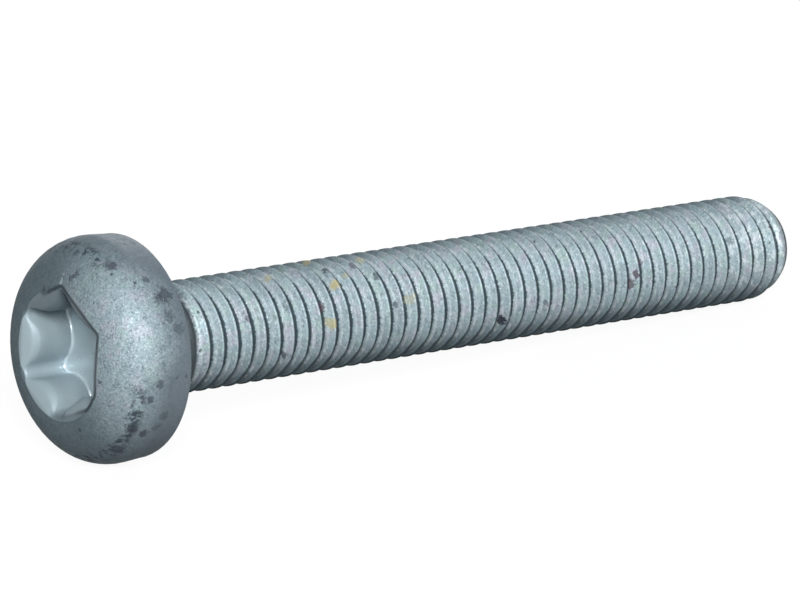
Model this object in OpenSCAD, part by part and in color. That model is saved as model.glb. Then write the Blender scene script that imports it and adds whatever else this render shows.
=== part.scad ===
// Fully threaded pan head machine screw with a six-lobe recess, lying on its side.
// Every piece is drawn along the screw's own axis first: the bearing face under the head is z = 0,
// the head reaches into -z and the thread into +z. lay_down() then tips it onto the floor.

/* [Head] */
// Diameter of the head at its widest
head_d = 16; // [15:0.1:17.5]
// Radius of the rounded rim, which makes most of the dome
rim_r = 3.55; // [3:0.05:3.8]
// Height of the rim arc's centre above the bearing face
rim_h = 2.05; // [1.6:0.05:2.6]
// Radius of the flatter crown that closes the dome
crown_r = 40; // [20:1:80]
// How far the head's side draws in between its widest and the bearing face
side_taper = 0.12; // [0.12:0.02:0.5]
// Broken edge between the side and the bearing face
edge_break = 0.1; // [0.05:0.05:0.3]
// Radius of the fillet between the bearing face and the neck
fillet_r = 0.4; // [0.3:0.05:0.6]

/* [Drive recess] */
// Distance across two opposite lobes
lobe_across = 8.95; // [7.9:0.05:9.1]
// Distance across two opposite ridges
ridge_across = 6.4; // [5.6:0.05:6.6]
// Radius of each lobe's rounded tip
lobe_r = 0.6; // [0.5:0.02:0.8]
// Depth of the recess below the crown
recess_depth = 3.9; // [2.8:0.1:4.3]
// Diameter of the lead-in cone at the crown
mouth_d = 9.1; // [9.1:0.05:9.8]
// Full angle of the lead-in cone
mouth_angle = 120; // [100:5:130]
// Turn of the recess about the screw's axis, from a lobe at the bottom
recess_turn = 0; // [-30:1:30]

/* [Thread] */
// Length under the head
screw_length = 60.3; // [30:0.1:70]
// Major diameter of the rolled thread
thread_d = 7.96; // [7.7:0.02:8.2]
// Pitch of the single right-hand start
pitch = 1.25; // [1.1:0.05:1.4]
// Depth of a thread groove
thread_depth = 0.68; // [0.5:0.02:0.74]
// Full angle between two flanks
flank_angle = 60; // [50:1:62]
// Turn of the thread about the screw's axis
thread_turn = 0; // [0:1:360]
// How far the plain neck between head and thread lies under the thread's crests
neck_step = 0.375; // [0.25:0.025:0.5]
// Distance from the bearing face to the first full thread
neck_length = 3; // [2:0.1:6]
// Length over which the end of the thread rounds off
end_length = 2.7; // [1.5:0.1:3]
// Diameter of the flat end face
end_d = 6; // [5.6:0.1:6.4]
// Straight pieces in one turn of the groove
turn_steps = 24; // [18:1:26]

/* [Hidden] */
$fn = 96;

// Arcs that run on into each other overlap by this much, so that they cross and don't just touch.
meet = 0.004;

// Head: the rim arc runs on into the crown arc, and stands on a nearly straight side.
rim_centre = head_d / 2 - rim_r;
crown_gap = crown_r - rim_r + meet;
crown_centre = sqrt(crown_gap * crown_gap - rim_centre * rim_centre) - rim_h;
head_h = crown_r - crown_centre;
arcs_meet = rim_centre * crown_r / crown_gap;
foot_r = head_d / 2 - side_taper;

// Recess: each ridge arc runs on into the two lobe arcs beside it.
lobes = 6;
lobe_step = 360 / lobes;
lobe_centre = lobe_across / 2 - lobe_r;
ridge_r = ridge_arc(lobe_centre, ridge_across / 2, lobe_r - meet);
ridge_centre = ridge_across / 2 + ridge_r;
meet_share = (lobe_r - meet / 2) / (lobe_r - meet + ridge_r);
mouth_r = mouth_d / 2;
mouth_z = crown_centre - sqrt(crown_r * crown_r - mouth_r * mouth_r);
mouth_h = mouth_r / tan(mouth_angle / 2);

// Cutters reach this far past the surface they open.
cut_past = 0.3;

// Thread: the crest is an eighth of the pitch wide, and the groove cutter reaches a little past it.
thread_r = thread_d / 2;
neck_r = thread_r - neck_step;
crest_w = pitch / 8;
groove_past = 0.1;
cut_r = thread_r + groove_past;
root_r = thread_r - thread_depth;
half_mouth = (pitch - crest_w) / 2 + groove_past * tan(flank_angle / 2);
half_root = half_mouth - (cut_r - root_r) * tan(flank_angle / 2);
groove_start = neck_length;
groove_steps = ceil((screw_length - groove_start + pitch) / pitch * turn_steps);
end_r = end_d / 2;
end_arc = (pow(thread_r - end_r, 2) + end_length * end_length) / (2 * (thread_r - end_r));
end_centre = thread_r + meet - end_arc;
end_core = (end_centre + end_r) / 2;

// Lying: the rim and the last full crest touch the floor, so the axis slopes down to the end.
end_z = screw_length - end_length;
span = norm([end_z + rim_h, thread_r - rim_centre]);
lie_angle = asin(rim_r / span) - atan2(thread_r - rim_centre, end_z + rim_h);
axis_h = rim_r + rim_centre * cos(lie_angle) - rim_h * sin(lie_angle);
back_x = mouth_z * cos(lie_angle) - mouth_r * sin(lie_angle);
front_x = screw_length * cos(lie_angle) + end_r * sin(lie_angle);

// Radius of the ridge arc that stands ridge from the axis and touches lobe arcs of radius tip at centre.
function ridge_arc(centre, ridge, tip) =
  (centre * centre + ridge * ridge - 2 * centre * ridge * cos(lobe_step / 2) - tip * tip)
  / (2 * (tip + centre * cos(lobe_step / 2) - ridge));

function polar(r, a) = [r * cos(a), r * sin(a)];

// Where the lobe arc at angle a meets the ridge arc on the given side of it.
function meeting(a, side) =
  polar(lobe_centre, a) * (1 - meet_share) + polar(ridge_centre, a + side * lobe_step / 2) * meet_share;

module dome_section() {
  intersection() {
    translate([0, crown_centre]) circle(r = crown_r);
    union() {
      translate([0, -head_d]) square([arcs_meet, head_d]);
      translate([rim_centre, -rim_h]) circle(r = rim_r);
      polygon([
        [0, -rim_h], [head_d / 2 - meet, -rim_h], [foot_r, -edge_break],
        [foot_r - edge_break - cut_past, cut_past], [0, cut_past]
      ]);
    }
    translate([0, -head_d]) square(head_d);
  }
}

module neck_section() {
  square([neck_r, neck_length + neck_step]);
  difference() {
    square([neck_r + fillet_r, fillet_r]);
    translate([neck_r + fillet_r, fillet_r]) circle(r = fillet_r);
  }
}

module thread_section() {
  intersection() {
    polygon([
      [0, neck_length - neck_step], [neck_r, neck_length - neck_step],
      [thread_r, neck_length], [thread_r, screw_length], [0, screw_length]
    ]);
    union() {
      square([thread_d, end_z]);
      square([end_core, screw_length + cut_past]);
      translate([end_centre, end_z]) circle(r = end_arc);
    }
  }
}

module lobe_outline() {
  difference() {
    union() {
      polygon([for (i = [0:lobes - 1]) for (side = [-1, 1]) meeting(i * lobe_step, side)]);
      for (i = [0:lobes - 1]) translate(polar(lobe_centre, i * lobe_step)) circle(r = lobe_r);
    }
    for (i = [0:lobes - 1])
      translate(polar(ridge_centre, (i + 0.5) * lobe_step)) circle(r = ridge_r);
  }
}

module drive_recess() {
  rotate(recess_turn) translate([0, 0, -head_h - cut_past])
    linear_extrude(recess_depth + cut_past) lobe_outline();
  // Lead-in
  rotate_extrude() polygon([
    [0, -head_h - cut_past], [mouth_r, -head_h - cut_past], [mouth_r, mouth_z], [0, mouth_z + mouth_h]
  ]);
}

// One cross-section of the groove cutter after i steps; it deepens over the first turn.
function groove_section(i) =
  let (
    z = groove_start + pitch * i / turn_steps,
    shallow = max(0, 1 - i / turn_steps),
    deep_r = root_r + (cut_r - groove_past / 2 - root_r) * shallow
  )
  [[cut_r, z - half_mouth], [deep_r, z - half_root], [deep_r, z + half_root], [cut_r, z + half_mouth]];

module thread_groove() {
  corners = 4;
  last = groove_steps * corners;
  points = [
    for (i = [0:groove_steps]) let (a = 360 * i / turn_steps)
      for (p = groove_section(i)) [p[0] * cos(a), p[0] * sin(a), p[1]]
  ];
  sides = [
    for (i = [0:groove_steps - 1]) for (j = [0:corners - 1])
      let (a = corners * i + j, b = corners * i + (j + 1) % corners)
        each [[a, a + corners, b], [b, a + corners, b + corners]]
  ];
  polyhedron(points, concat(sides, [[0, 1, 2, 3]], [[last + 3, last + 2, last + 1, last]]), convexity = 10);
}

module lay_down() {
  translate([-(back_x + front_x) / 2, 0, axis_h]) rotate([0, 90 + lie_angle, 0]) children();
}

module screw() {
  color("slategray")
  lay_down()
  difference() {
    union() {
      rotate_extrude() union() { dome_section(); neck_section(); }
      rotate_extrude() thread_section();
    }
    drive_recess();
    rotate(thread_turn) thread_groove();
  }
}

screw();
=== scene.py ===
from math import asin, atan2, cos, hypot, pi, radians, sin, sqrt, tan

import bmesh
import bpy
from mathutils import Matrix, Vector


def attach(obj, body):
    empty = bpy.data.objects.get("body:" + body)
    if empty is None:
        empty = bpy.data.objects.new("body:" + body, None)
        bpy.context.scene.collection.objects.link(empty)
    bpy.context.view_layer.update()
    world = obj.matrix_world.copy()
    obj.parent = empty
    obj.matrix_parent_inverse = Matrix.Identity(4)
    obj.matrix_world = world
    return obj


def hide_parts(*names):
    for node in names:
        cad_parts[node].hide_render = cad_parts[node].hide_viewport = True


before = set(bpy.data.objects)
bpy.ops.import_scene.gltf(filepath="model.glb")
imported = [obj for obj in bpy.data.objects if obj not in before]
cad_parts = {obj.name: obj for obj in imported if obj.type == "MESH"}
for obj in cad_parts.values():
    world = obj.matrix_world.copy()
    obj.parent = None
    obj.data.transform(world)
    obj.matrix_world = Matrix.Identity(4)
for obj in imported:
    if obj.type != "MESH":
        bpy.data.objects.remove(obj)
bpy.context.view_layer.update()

# The screw's body. Head, six-lobe recess, neck, rolled thread and end are one piece of steel, cold-headed
# from wire and thread-rolled. It is drawn along its own axis, with the bearing face under the head at x = 0,
# the head towards -x and the thread towards +x. All its sizes are in millimetres, and its angles in radians.
HEAD_R = 8.0
RIM_R = 3.55
RIM_H = 2.05
RIM_PAST_WIDEST = 0.09
CROWN_R = 40.0
FOOT_R = 7.88
LOBE_ACROSS = 8.95
RIDGE_ACROSS = 6.4
LOBE_R = 0.6
RECESS_DEPTH = 3.9
FLOOR_ROUND_R = 0.3
MOUTH_FLAT = 4.25
MOUTH_CORNERS = (4.6, 4.78, 4.78, 4.88, 4.88, 4.53)
MOUTH_ANGLE = radians(120)
BEVEL = 0.42
LIP_ROUND = 0.02
LEAD_IN_R = 4.55
FILLET_R = 0.4
NECK_R = 3.605
CREST_R = 3.98
PITCH = 1.25
THREAD_START = 3.0
LENGTH = 60.3
END_LENGTH = 2.7
END_R = 3.0
LOBES = 6
LOBE_STEP = 2 * pi / LOBES

rim_centre = HEAD_R - RIM_R
crown_centre = sqrt((CROWN_R - RIM_R) ** 2 - rim_centre ** 2) - RIM_H
head_h = CROWN_R - crown_centre
arcs_meet = rim_centre * CROWN_R / (CROWN_R - RIM_R)
rise = 1 / tan(MOUTH_ANGLE / 2)
floor_x = RECESS_DEPTH - head_h


# One lobe's share of the recess outline, from the lobe's tip to the next tip, as angle and radius.
def lobe_share(tip_steps=5, ridge_steps=10):
    half = LOBE_STEP / 2
    lobe = LOBE_ACROSS / 2 - LOBE_R
    ridge = RIDGE_ACROSS / 2
    ridge_r = (lobe ** 2 + ridge ** 2 - 2 * lobe * ridge * cos(half) - LOBE_R ** 2) / (
        2 * (LOBE_R + lobe * cos(half) - ridge))
    ridge_c = Vector(((ridge + ridge_r) * cos(half), (ridge + ridge_r) * sin(half)))
    lobe_c = Vector((lobe, 0))
    turn = atan2(ridge_c.y, ridge_c.x - lobe)
    points = [lobe_c + LOBE_R * Vector((cos(turn * i / tip_steps), sin(turn * i / tip_steps)))
              for i in range(tip_steps)]
    start = atan2(lobe_c.y - ridge_c.y, lobe_c.x - ridge_c.x)
    middle = half - pi
    points += [ridge_c + ridge_r * Vector((cos(a), sin(a))) for a in
               [start + (middle - start) * i / (ridge_steps / 2) for i in range(ridge_steps // 2 + 1)]]
    first = [(atan2(p.y, p.x), p.length) for p in points]
    return first + [(2 * half - a, r) for a, r in reversed(first[1:-1])]


# Round the axis, a column of points stands at every angle of the recess outline.
columns = [(a + LOBE_STEP * i, r) for i in range(LOBES) for a, r in lobe_share()]
columns.append((columns[0][0] + 2 * pi, columns[0][1]))


def crown_x(r):
    return crown_centre - sqrt(CROWN_R ** 2 - r * r)


# The mouth has a flat at each ridge and a corner at each lobe. The punch has left two of the corners rounder.
# The corners are counted from the one that points straight down.
def mouth_at(angle):
    off_ridge = angle % LOBE_STEP - LOBE_STEP / 2
    corner = MOUTH_CORNERS[round(angle / LOBE_STEP) % LOBES]
    return min(MOUTH_FLAT / cos(off_ridge), corner)


# One column of the recess from its floor's middle to the mouth: distance from the axis, then along it.
def recess_column(wall, mouth):
    edge_x = crown_x(mouth) + (mouth - wall) * rise
    bevel = min(BEVEL, (mouth - wall) / 2.4)
    round_x = floor_x - FLOOR_ROUND_R
    round_c = wall - FLOOR_ROUND_R
    column = [(0, floor_x)] + [(round_c * s, floor_x) for s in (0.3, 0.6, 0.9)]
    column += [(round_c + FLOOR_ROUND_R * sin(t), round_x + FLOOR_ROUND_R * cos(t))
               for t in (0, pi / 8, pi / 4, pi * 3 / 8, pi / 2)]
    column += [(wall, round_x + (edge_x + bevel - round_x) * s) for s in (0.25, 0.5, 0.75, 1)]
    column += [(wall + bevel * s, edge_x - bevel * rise * s + bevel * (1 - s) ** 2)
               for s in (0.15, 0.4, 0.7, 1)]
    low_r, low_x = column[-1]
    lip_r, lip_x = mouth - LIP_ROUND, crown_x(mouth) + LIP_ROUND * rise
    column += [(low_r + (lip_r - low_r) * s, low_x + (lip_x - low_x) * s) for s in (1 / 3, 2 / 3, 1)]
    return column + [(r, crown_x(r)) for r in (mouth + LIP_ROUND, (mouth + arcs_meet) / 2)]


# The dome, the bearing face, the fillet and the neck are turned, so each column has the same points.
def turned_column(rim_steps=28, fillet_steps=5):
    start = atan2(arcs_meet - rim_centre, -(crown_x(arcs_meet) + RIM_H))
    stop = pi / 2 + RIM_PAST_WIDEST
    rim = [(rim_centre + RIM_R * sin(t), -RIM_H - RIM_R * cos(t)) for t in
           [start + (stop - start) * i / rim_steps for i in range(rim_steps + 1)]]
    side = [(FOOT_R + 0.018, -0.6), (FOOT_R, -0.14)]
    broken_edge = [(FOOT_R - 0.02, -0.07), (FOOT_R - 0.09, -0.01), (FOOT_R - 0.15, 0)]
    face = [(6.2, 0), (5.0, 0)]
    fillet_c = NECK_R + FILLET_R
    fillet = [(fillet_c - FILLET_R * sin(t), FILLET_R - FILLET_R * cos(t)) for t in
              [pi / 2 * i / fillet_steps for i in range(fillet_steps + 1)]]
    neck = [(NECK_R, 1.2), (NECK_R, 2.0)]
    return rim + side + broken_edge + face + fillet + neck


# The surface's distance from the axis where no groove is cut: neck, first taper, crest, rounded end.
def blank_radius(x):
    taper = CREST_R - NECK_R
    end_x = LENGTH - END_LENGTH
    if x < THREAD_START:
        return NECK_R + max(0, x - THREAD_START + taper)
    if x <= end_x:
        return CREST_R
    gap = CREST_R - END_R
    arc = (gap ** 2 + END_LENGTH ** 2) / (2 * gap)
    return CREST_R - arc + sqrt(arc ** 2 - (x - end_x) ** 2)


# Half of a rolled groove, from the root's middle to the crest's: distance along the axis, then from it.
HALF_GROOVE = [(0, 3.29), (0.09, 3.3), (0.16, 3.335), (0.22, 3.415),
               (0.5, 3.9), (0.545, 3.97), (0.57, CREST_R), (PITCH / 2, CREST_R)]
groove = [(-u, r) for u, r in reversed(HALF_GROOVE[1:-1])] + HALF_GROOVE


# One column of the thread. Its points follow the right-hand helix, so the last column meets the first one
# turn further on. The groove deepens over its first turn, where it runs out at the neck.
def thread_column(angle):
    first_x = THREAD_START + PITCH * angle / (2 * pi)
    start_x = THREAD_START - (CREST_R - NECK_R)
    column = []
    for turn in range(-3, round(LENGTH / PITCH) + 2):
        middle = first_x + turn * PITCH
        cut = min(1, max(0, (middle - THREAD_START) / PITCH))
        for u, r in groove:
            x = min(LENGTH, max(start_x, middle + u))
            blank = blank_radius(x)
            column.append((min(blank, CREST_R - (CREST_R - r) * cut), x))
    return column


end_face = [(r, LENGTH) for r in (END_R - 0.05, 2.0, 1.0, 0)]


# The screw lies with its rim and its last crests on the floor, so its axis slopes down to the end. This gives
# the slope and the place of the bearing face's middle, with the whole screw centred over the floor's middle.
def lying_frame():
    end_x = LENGTH - END_LENGTH
    drop = CREST_R - rim_centre
    lie = asin(RIM_R / hypot(end_x + RIM_H, drop)) - atan2(drop, end_x + RIM_H)
    high = RIM_R + rim_centre * cos(lie) - RIM_H * sin(lie)
    back = crown_x(LEAD_IN_R) * cos(lie) - LEAD_IN_R * sin(lie)
    front = LENGTH * cos(lie) + END_R * sin(lie)
    return lie, Vector((-(back + front) / 2, 0, high))


LIE, BEARING = lying_frame()


def screw_mesh():
    shape = bmesh.new()
    turned = turned_column()
    rows = []
    for angle, wall in columns:
        points = recess_column(wall, mouth_at(angle)) + turned + thread_column(angle) + end_face
        # An angle of zero points straight down, and it grows towards +y.
        rows.append([shape.verts.new((x, r * sin(angle), -r * cos(angle))) for r, x in points])
    for left, right in zip(rows, rows[1:]):
        for a, b, c, d in zip(left, left[1:], right[1:], right):
            shape.faces.new((a, b, c, d))
    bmesh.ops.remove_doubles(shape, verts=shape.verts, dist=1e-5)
    bmesh.ops.recalc_face_normals(shape, faces=shape.faces)
    for face in shape.faces:
        face.smooth = True
    lay = Matrix.Translation(BEARING / 1000) @ Matrix.Rotation(LIE, 4, "Y") @ Matrix.Scale(0.001, 4)
    shape.transform(lay)
    mesh = bpy.data.meshes.new("screw_body")
    shape.to_mesh(mesh)
    shape.free()
    return mesh


screw = bpy.data.objects.new("screw_body", screw_mesh())
bpy.context.scene.collection.objects.link(screw)


# The coat is dull blue-grey zinc flake over the whole screw, a little grainy to the eye. Oil and dirt have
# drawn a ragged ring round the head. The thread's roots are painted dark, partly grime and partly painted
# shade, and painted shade also darkens the sides turned away from the front lamp.
BLUE_GREY = (0.34, 0.44, 0.48)
PINKISH_GREY = (0.42, 0.45, 0.515)
GREENISH_GREY = (0.345, 0.46, 0.455)
CLOUD = (0.27, 0.345, 0.38)
BLOTCH = (0.21, 0.27, 0.30)
BRIGHT_GRAIN = (0.74, 0.85, 0.88)
DARK_GRAIN = (0.11, 0.145, 0.17)
BRIGHT_SPECK = (0.80, 0.90, 0.93)
DARK_SPECK = (0.08, 0.11, 0.13)
HEAD_SIDE_AND_SHADE = (0.11, 0.125, 0.155)
HEAD_GREY = (0.17, 0.22, 0.25)
SHADE_AWAY_FROM_LAMP = (0.07, 0.10, 0.115)
RING_GRIME = (0.022, 0.032, 0.045)
UNDER_HEAD_SHADE = (0.03, 0.04, 0.045)
RECESS_GREY = (0.34, 0.42, 0.455)
RECESS_FLOOR_LIGHT = (0.60, 0.70, 0.74)
RECESS_TOP_SHADE = (0.13, 0.17, 0.19)
GREASE = (0.11, 0.145, 0.165)
MOUTH_EDGE_LINE = (0.03, 0.045, 0.055)
FLANK_HIGHLIGHT = (0.85, 0.93, 0.95)
TIP_FLECK = (0.80, 0.88, 0.90)
GROOVE_GRIME_AND_SHADE = (0.018, 0.034, 0.042)
PINHOLE = (0.05, 0.06, 0.075)
OCHRE = (0.46, 0.41, 0.2)
TAR = (0.03, 0.035, 0.05)
RUST = (0.055, 0.03, 0.045)
NICK = (0.55, 0.66, 0.7)

# Stains where oil dried, and small dents, by shade. Each one is its place from the middle of the bearing face,
# along the screw's axis and across it, then its size, all in millimetres, and its strength.
STAINS = (
    # Yellowish stains on the thread near the head.
    (OCHRE, (
        (16.72, -2.48, 2.9, 0.5, 0.8), (15.57, -3.71, 0.4, 0.48, 0.7), (11.66, -1.22, 3.65, 0.4, 0.45),
        (16.59, 0.57, 3.85, 0.45, 0.5), (20.4, -0.71, 3.81, 0.45, 0.4), (18.02, -2.12, 3.33, 0.35, 0.4),
        (22.99, -3.45, 1.25, 0.5, 0.35))),
    # Tarry spots on the thread.
    (TAR, (
        (16.72, -1.37, 3.69, 0.32, 0.75), (20.63, -2.5, 3.1, 0.4, 0.6), (19.36, -1.34, 3.75, 0.4, 0.6),
        (21.67, -3.39, 1.02, 0.25, 0.6), (11.81, -3.24, -1.4, 0.3, 0.7), (11.86, -3.29, 2.19, 0.6, 0.35),
        (31.82, -3.27, -1.4, 0.46, 0.97), (31.8, -3.6, -1.45, 0.42, 0.97), (35.66, -3.76, -0.53, 0.3, 0.5),
        (28.17, -2.89, 2.73, 0.3, 0.4), (54.16, -3.15, 1.73, 0.4, 0.4), (8.34, -3.58, 1.66, 0.4, 0.6))),
    # Tarry spots on the head's side and dome.
    (TAR, (
        (-1.22, -5.96, 5.18, 0.7, 0.6), (-1.83, -6.25, 4.99, 0.5, 0.5), (-1.45, -6.89, 3.96, 0.55, 0.45),
        (-0.95, -7.2, 3.07, 0.6, 0.4), (-2.74, -7.91, -0.53, 0.42, 0.6), (-3.33, -7.59, -1.6, 0.34, 0.7),
        (-3.0, -6.61, -4.27, 0.4, 0.75), (-3.85, -6.45, -3.85, 0.5, 0.8), (-3.81, -4.88, -5.74, 0.6, 0.7),
        (-1.9, -7.42, -2.97, 0.4, 0.4), (-2.23, -7.02, -3.82, 0.4, 0.4), (-2.18, -5.09, 6.17, 0.35, 0.5),
        (-3.72, -3.19, 6.88, 0.45, 0.7), (-5.57, -4.81, -0.68, 0.25, 0.6), (-0.5, -7.64, -0.1, 0.3, 0.55),
        (-5.15, -1.15, 6.07, 0.3, 0.6), (-5.27, -0.95, 5.87, 0.28, 0.6), (-5.37, -0.74, 5.67, 0.3, 0.55),
        (-5.6, 1.9, 4.15, 0.35, 0.6), (-5.61, 1.3, 4.3, 0.3, 0.5))),
    # Rusty spots on the thread.
    (RUST, (
        (15.13, -2.94, 1.49, 0.4, 0.75), (44.35, -3.76, 0.48, 0.4, 0.75), (44.15, -3.38, -0.19, 0.5, 0.7),
        (45.26, -3.1, 1.21, 0.4, 0.45))),
    # Bright nicks above the recess's mouth.
    (NICK, (
        (-5.58, 0.12, 5.2, 0.2, 0.4), (-5.52, 0.1, 5.5, 0.18, 0.4), (-5.45, 0.05, 5.8, 0.16, 0.35))),
)


# Empties a material and returns what adds a node to it, with each input linked to a socket or set to a value.
def node_adder(material):
    material.use_nodes = True
    tree = material.node_tree
    tree.nodes.clear()

    def add(kind, inputs=(), **settings):
        made = tree.nodes.new("ShaderNode" + kind)
        for name, value in settings.items():
            setattr(made, name, value)
        for socket, value in dict(inputs).items():
            if isinstance(value, bpy.types.NodeSocket):
                tree.links.new(value, made.inputs[socket])
            else:
                made.inputs[socket].default_value = value
        return made

    return add


coat = bpy.data.materials.new("zinc_coat")
node = node_adder(coat)


def sums(operation, first, second=0.5, third=0.5):
    return node("Math", {0: first, 1: second, 2: third}, operation=operation).outputs[0]


def times(*values):
    total = values[0]
    for value in values[1:]:
        total = sums("MULTIPLY", total, value)
    return total


# Rises smoothly from 0 at low to 1 at high, or falls where low is the larger.
def step(value, low, high):
    return node("MapRange", {"Value": value, "From Min": low, "From Max": high},
                interpolation_type="SMOOTHSTEP").outputs[0]


# Is 1 at the middle, and fades to 0 within reach on either side.
def near(value, middle, reach):
    return step(sums("ABSOLUTE", sums("SUBTRACT", value, middle)), reach, reach * 0.3)


# Turns a mask inside out.
def opposite(value):
    return sums("SUBTRACT", 1.0, value)


def grain(scale, detail=2.0, rough=0.5, out="Fac"):
    inputs = {"Vector": along, "Scale": scale, "Detail": detail, "Roughness": rough}
    return node("TexNoise", inputs).outputs[out]


# Lays a colour over what is below it, by a mask.
def paint(below, above, amount):
    return node("Mix", {0: amount, 6: below, 7: (*above, 1)}, data_type="RGBA").outputs[2]


# Where a place lies on the screw, on its own axis in millimetres: x from the bearing face, y and z across.
# The turn round the axis starts straight down and grows towards +y.
place = node("TexCoord").outputs["Object"]
along = node("Mapping", {"Vector": place, "Location": BEARING / 1000, "Rotation": (0, LIE, 0),
                         "Scale": (0.001, 0.001, 0.001)}, vector_type="TEXTURE").outputs[0]
split = node("SeparateXYZ", {0: along}).outputs
x, y, z = split["X"], split["Y"], split["Z"]
across = node("CombineXYZ", {"Y": y, "Z": z}).outputs[0]
radius = node("VectorMath", {0: across}, operation="LENGTH").outputs["Value"]
turn = sums("ARCTAN2", y, sums("MULTIPLY", z, -1.0))

head = step(x, 0.3, 0.1)
thread = step(x, 1.5, 2.6)
recess = times(step(radius, 4.62, 4.5), step(x, -1.7, -1.9))
bearing_face = times(step(x, -0.12, -0.03), step(x, 0.12, 0.03), step(radius, 4.0, 4.4))
end = step(x, LENGTH - 0.1, LENGTH - 0.03)

# The side that faces the front lamp, up and to the front, is left palest; away from it the coat is
# darkened with painted shade. On the thread and on the head's side the opposite side is kept pale as well,
# and so are the bearing face and the end.
LAMP_SIDE = (0, -0.86, 0.51)
outward = node("VectorMath", {0: across}, operation="NORMALIZE").outputs[0]
facing = node("VectorMath", {0: outward, 1: LAMP_SIDE}, operation="DOT_PRODUCT").outputs["Value"]
either_side = sums("MAXIMUM", thread, step(x, -3.2, -2.0))
sides = sums("MAXIMUM", sums("MULTIPLY_ADD", z, sums("MULTIPLY", head, -0.025), facing),
             times(either_side, sums("ABSOLUTE", facing)))
flat_faces = sums("MULTIPLY", sums("MAXIMUM", end, bearing_face), 0.9)
lit_side = sums("MAXIMUM", step(sides, 0.1, 1.0), flat_faces)

# The coat's unevenness, from broad clouds to single grains.
clouds = grain(0.35, 3, 0.6)
tints = node("SeparateColor", {0: grain(0.8, 3, 0.65, "Color")}).outputs
blotch = grain(1.7, 3, 0.65)
grains = grain(4.6, 3, 0.75)
specks = grain(7.5, 1)
patchy = sums("MULTIPLY_ADD", grains, 0.5, sums("MULTIPLY", blotch, 0.5))


# The flakes lie in clouds, blotches and grains, each greenish in one place and pinkish in another.
def zinc_flake():
    colour = paint((*BLUE_GREY, 1), PINKISH_GREY, step(tints["Red"], 0.48, 0.62))
    colour = paint(colour, GREENISH_GREY, step(tints["Green"], 0.5, 0.64))
    colour = paint(colour, CLOUD, times(step(clouds, 0.52, 0.36), 0.6))
    colour = paint(colour, BLOTCH, times(step(blotch, 0.52, 0.7), 0.55))
    clustered = sums("MULTIPLY_ADD", step(blotch, 0.44, 0.58), 0.6, 0.4)
    harsh = times(sums("MULTIPLY_ADD", head, 0.5, 0.5), clustered)
    colour = paint(colour, BRIGHT_GRAIN, times(step(grains, 0.55, 0.64), 0.42))
    colour = paint(colour, DARK_GRAIN, times(step(grains, 0.46, 0.38), harsh, 0.9))
    colour = paint(colour, BRIGHT_SPECK, times(step(specks, 0.62, 0.7), head, 0.6))
    return paint(colour, DARK_SPECK, times(step(specks, 0.41, 0.33), harsh, 0.8))


# The head's side is smoother and greyer, and it is painted darker past the dome's end, partly its own coat and
# partly painted shade. A ragged line of grime runs round where the dome begins.
def head_grime_and_shade(colour):
    dome_end = sums("MULTIPLY_ADD", step(facing, 0.8, 0.98), 1.6, -4.0)
    past = sums("ADD", sums("SUBTRACT", x, dome_end), sums("MULTIPLY_ADD", blotch, 1.4, -0.7))
    graded = sums("MULTIPLY_ADD", step(past, -0.1, 0.4), 0.3, sums("MULTIPLY", step(past, 0.2, 2.3), 0.7))
    off_bearing = sums("MULTIPLY_ADD", bearing_face, -0.7, 0.85)
    off_far_side = sums("MULTIPLY_ADD", step(facing, -0.6, 0.0), 0.6, 0.4)
    # Partly the side's own greyer coat, partly painted shade, starting later on the side that faces the lamp.
    colour = paint(colour, HEAD_SIDE_AND_SHADE, times(head, graded, off_bearing, off_far_side))
    colour = paint(colour, HEAD_GREY, times(head, 0.42))
    # Painted shade on the sides turned away from the front lamp.
    colour = paint(colour, SHADE_AWAY_FROM_LAMP, times(opposite(lit_side), 0.81))
    ragged = times(near(past, 0.15, 0.6), step(patchy, 0.49, 0.54), head, step(facing, 0.93, 0.7))
    colour = paint(colour, RING_GRIME, times(ragged, 0.85))
    # Painted shadow of the head, darkening the neck and the first turns of the thread under it.
    neck_end = step(sums("ADD", x, grains), 4.65, 4.1)
    under_head = times(neck_end, step(x, -0.2, -0.05), step(radius, 4.9, 4.2))
    return paint(colour, UNDER_HEAD_SHADE, times(under_head, 0.93))


# The punch left a smooth recess. Its floor is painted paler as painted light, its top is painted darker as
# painted shade, its bottom is greasy, and a dark line is painted along the mouth's edge on the near side.
def punched_recess(colour):
    colour = paint(colour, RECESS_GREY, times(recess, 0.85))
    # Painted light: the recess's floor is made paler.
    colour = paint(colour, RECESS_FLOOR_LIGHT, times(recess, step(x, -2.2, -2.05), 0.8))
    # Painted shade: the top of the recess, which faces down, is made darker.
    colour = paint(colour, RECESS_TOP_SHADE, times(recess, step(z, 1.8, 3.0), 0.85))
    greasy = times(recess, step(z, -2.9, -3.5), step(radius, 4.0, 4.25), step(y, 0.9, 0.2))
    colour = paint(colour, GREASE, times(greasy, 0.75))
    # A dark line painted just outside the mouth's edge, on the near side only.
    off_ridge = sums("SUBTRACT", LOBE_STEP / 2, sums("PINGPONG", turn, LOBE_STEP / 2))
    flat = sums("MULTIPLY_ADD", radius, sums("COSINE", off_ridge), -MOUTH_FLAT)
    corner = sums("SUBTRACT", radius, sums("MULTIPLY_ADD", step(z, -1.0, -2.2), -0.32, 4.86))
    edge_line = times(near(sums("MAXIMUM", flat, corner), 0.1, 0.2), step(x, -5.2, -5.35),
                 step(y, 2.4, 1.0), step(z, -3.9, -3.0))
    return paint(colour, MOUTH_EDGE_LINE, times(edge_line, 0.9))
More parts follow.
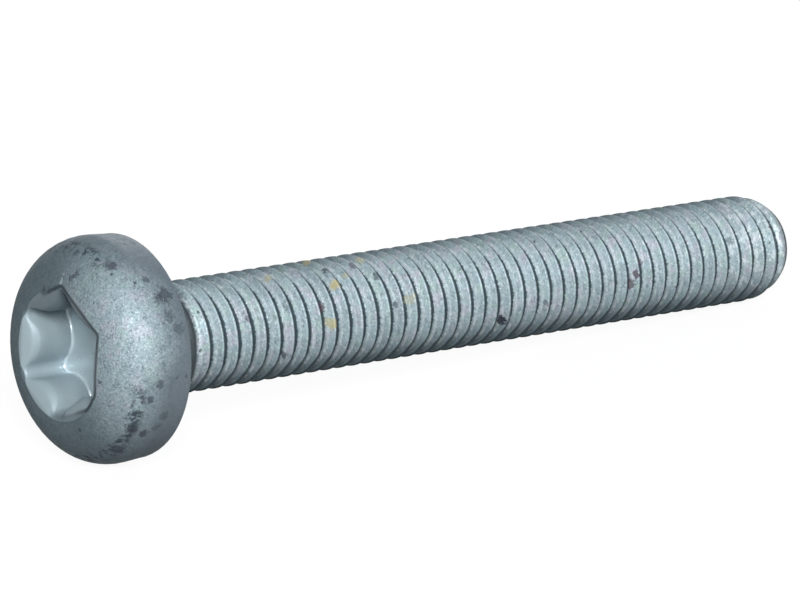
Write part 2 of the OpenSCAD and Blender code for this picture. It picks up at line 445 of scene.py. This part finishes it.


# The thread's roots are painted dark, partly grime and partly painted shade, and the flank that faces the end
# is painted dark as painted shade, more widely low down and away from the lamp. The foot of the other flank
# gets flecks of painted highlight, and the last of the thread is flecked bright on the lamp's side.
def thread_grime_and_shade(colour):
    # Painted highlight, in flecks, at the foot of the flank that faces the head.
    flank_glint = times(thread, near(radius, 3.53, 0.14), sums("MULTIPLY_ADD", step(blotch, 0.45, 0.6), 0.6, 0.2))
    colour = paint(colour, FLANK_HIGHLIGHT, times(flank_glint, 0.4))
    last = step(sums("ADD", x, sums("MULTIPLY", clouds, 5.0)), 55.0, 58.0)
    tip = times(last, step(blotch, 0.52, 0.58), lit_side)
    colour = paint(colour, TIP_FLECK, times(tip, 0.38))
    # Painted shade, partly grime, in the thread's roots.
    level = sums("ADD", radius, sums("MULTIPLY_ADD", grains, 0.14, -0.07))
    colour = paint(colour, GROOVE_GRIME_AND_SHADE, times(thread, step(level, 3.39, 3.32), opposite(end), 0.95))
    # Painted shade along the flank that faces the end, wider low down and away from the lamp.
    pitches = sums("DIVIDE", sums("SUBTRACT", x, THREAD_START), PITCH)
    winding = sums("SUBTRACT", pitches, sums("DIVIDE", turn, 2 * pi))
    wider = sums("ADD", step(lit_side, 0.75, 0.2), step(z, -1.2, -2.8))
    phase = sums("MULTIPLY_ADD", wider, 0.06, sums("FRACT", winding))
    full_thread = times(step(x, 4.1, 4.6), step(x, LENGTH - 1.2, LENGTH - 2.2))
    shaded_flank = times(full_thread, step(phase, 0.49, 0.52), step(phase, 0.75, 0.7))
    return paint(colour, GROOVE_GRIME_AND_SHADE, times(shaded_flank, 0.88))


# Pinholes in the coat, and the stains listed above, each with a patchy edge.
def pinholes_and_stains(colour):
    pin = node("TexVoronoi", {"Vector": along, "Scale": 0.75}).outputs["Distance"]
    pin_edge = step(sums("ADD", pin, sums("MULTIPLY", grains, 0.1)), 0.19, 0.13)
    pins = times(pin_edge, step(tints["Blue"], 0.48, 0.54), opposite(recess))
    colour = paint(colour, PINHOLE, times(pins, 0.8))
    for shade, marks in STAINS:
        for *spot, size, strength in marks:
            far = node("VectorMath", {0: along, 1: spot}, operation="DISTANCE").outputs["Value"]
            edge = sums("ADD", far, sums("MULTIPLY_ADD", patchy, 3.6 * size, -1.8 * size))
            colour = paint(colour, shade, times(step(edge, size, size * 0.55), strength))
    return colour


colour = zinc_flake()
colour = head_grime_and_shade(colour)
colour = punched_recess(colour)
colour = thread_grime_and_shade(colour)
colour = pinholes_and_stains(colour)

# The grain is felt as well as seen, apart from the punched recess, which is smoother and shinier.
# Sides turned away from the front lamp are duller.
relief = sums("ADD", grains, sums("MULTIPLY", blotch, 0.6))
height = times(relief, sums("MULTIPLY_ADD", recess, -0.8, 1.0))
bump = node("Bump", {"Height": height, "Strength": 0.6, "Distance": 0.00006}).outputs[0]
dull = node("MapRange", {"Value": blotch, "From Min": 0.3, "From Max": 0.7, "To Min": 0.5, "To Max": 0.62})
rough = sums("MULTIPLY_ADD", opposite(lit_side), 0.25, sums("MULTIPLY_ADD", recess, -0.25, dull.outputs[0]))
steel = node("BsdfPrincipled", {"Base Color": colour, "Roughness": rough, "Metallic": 0.35,
                                "Specular IOR Level": 0.3, "Normal": bump})
node("OutputMaterial", {"Surface": steel.outputs[0]})

screw.data.materials.append(coat)
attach(screw, "root")
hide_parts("screw")

# The floor is a plain white sheet that the screw lies on. It is matt paper with a glow that only the eye and
# reflections see, so it looks white, adds no light to the screw's dull coat and still takes its shadow.
SHEET_SIZE = 8
PAPER = (0.08, 0.08, 0.08, 1)
GLOW = 0.93


def white_sheet():
    bpy.ops.mesh.primitive_plane_add(size=SHEET_SIZE, location=(0, 0, 0))
    sheet = bpy.context.object
    sheet.name = "floor"
    material = bpy.data.materials.new("white_sheet")
    add = node_adder(material)
    rays = add("LightPath").outputs
    either = add("Math", {0: rays["Is Camera Ray"], 1: rays["Is Glossy Ray"]}, operation="MAXIMUM").outputs[0]
    seen = add("Math", {0: either, 1: rays["Is Transmission Ray"]}, operation="MAXIMUM").outputs[0]
    level = add("Math", {0: seen, 1: GLOW}, operation="MULTIPLY").outputs[0]
    glow = add("Emission", {"Color": (1, 1, 1, 1), "Strength": level})
    paper = add("BsdfDiffuse", {"Color": PAPER})
    both = add("AddShader", {0: paper.outputs[0], 1: glow.outputs[0]})
    add("OutputMaterial", {"Surface": both.outputs[0]})
    sheet.data.materials.append(material)
    return sheet


white_sheet()

# Two wide soft lamps face each other across the screw, one above the camera and one behind the screw. Each is
# a disc aimed at the middle of the screw, and the one behind is the larger and the weaker.
LAMPS_AIM = Vector((0, 0, 0.005))


def soft_lamp(name, place, size, watts):
    lamp = bpy.data.lights.new(name, "AREA")
    lamp.shape = "DISK"
    lamp.size = size
    lamp.energy = watts
    stand = bpy.data.objects.new(name, lamp)
    stand.location = place
    stand.rotation_euler = (LAMPS_AIM - Vector(place)).to_track_quat("-Z", "Y").to_euler()
    bpy.context.scene.collection.objects.link(stand)


soft_lamp("front_lamp", (-0.28, -0.40, 0.27), 0.2, 3.8)
soft_lamp("back_lamp", (0.36, 0.48, 0.17), 0.5, 2.8)

# The room fills in from all round with an even, slightly blue light, so that no side of the screw is black.
# It is also what the steel mirrors where it doesn't see the floor.
ROOM_COLOUR = (0.9, 0.95, 1, 1)
ROOM_STRENGTH = 0.34

world = bpy.data.worlds.new("studio")
world.use_nodes = True
room = world.node_tree.nodes["Background"].inputs
room["Color"].default_value = ROOM_COLOUR
room["Strength"].default_value = ROOM_STRENGTH
bpy.context.scene.world = world

# The camera stands off the head's end, on the near side, and looks slightly down along the screw. Its long
# lens flattens the view. The head is at the left, and the thread runs away from it to the right.
CAMERA_PLACE = Vector((-0.265829, -0.320382, 0.133642))
CAMERA_LOOK = Vector((0.607242, 0.738339, -0.293452))

lens = bpy.data.cameras.new("camera")
lens.sensor_width = 36
lens.lens = 271.2
lens.clip_start = 0.01
camera = bpy.data.objects.new("camera", lens)
camera.location = CAMERA_PLACE
camera.rotation_euler = CAMERA_LOOK.to_track_quat("-Z", "Y").to_euler()
bpy.context.scene.collection.objects.link(camera)
bpy.context.scene.camera = camera

bpy.context.scene.view_settings.view_transform = "Standard"
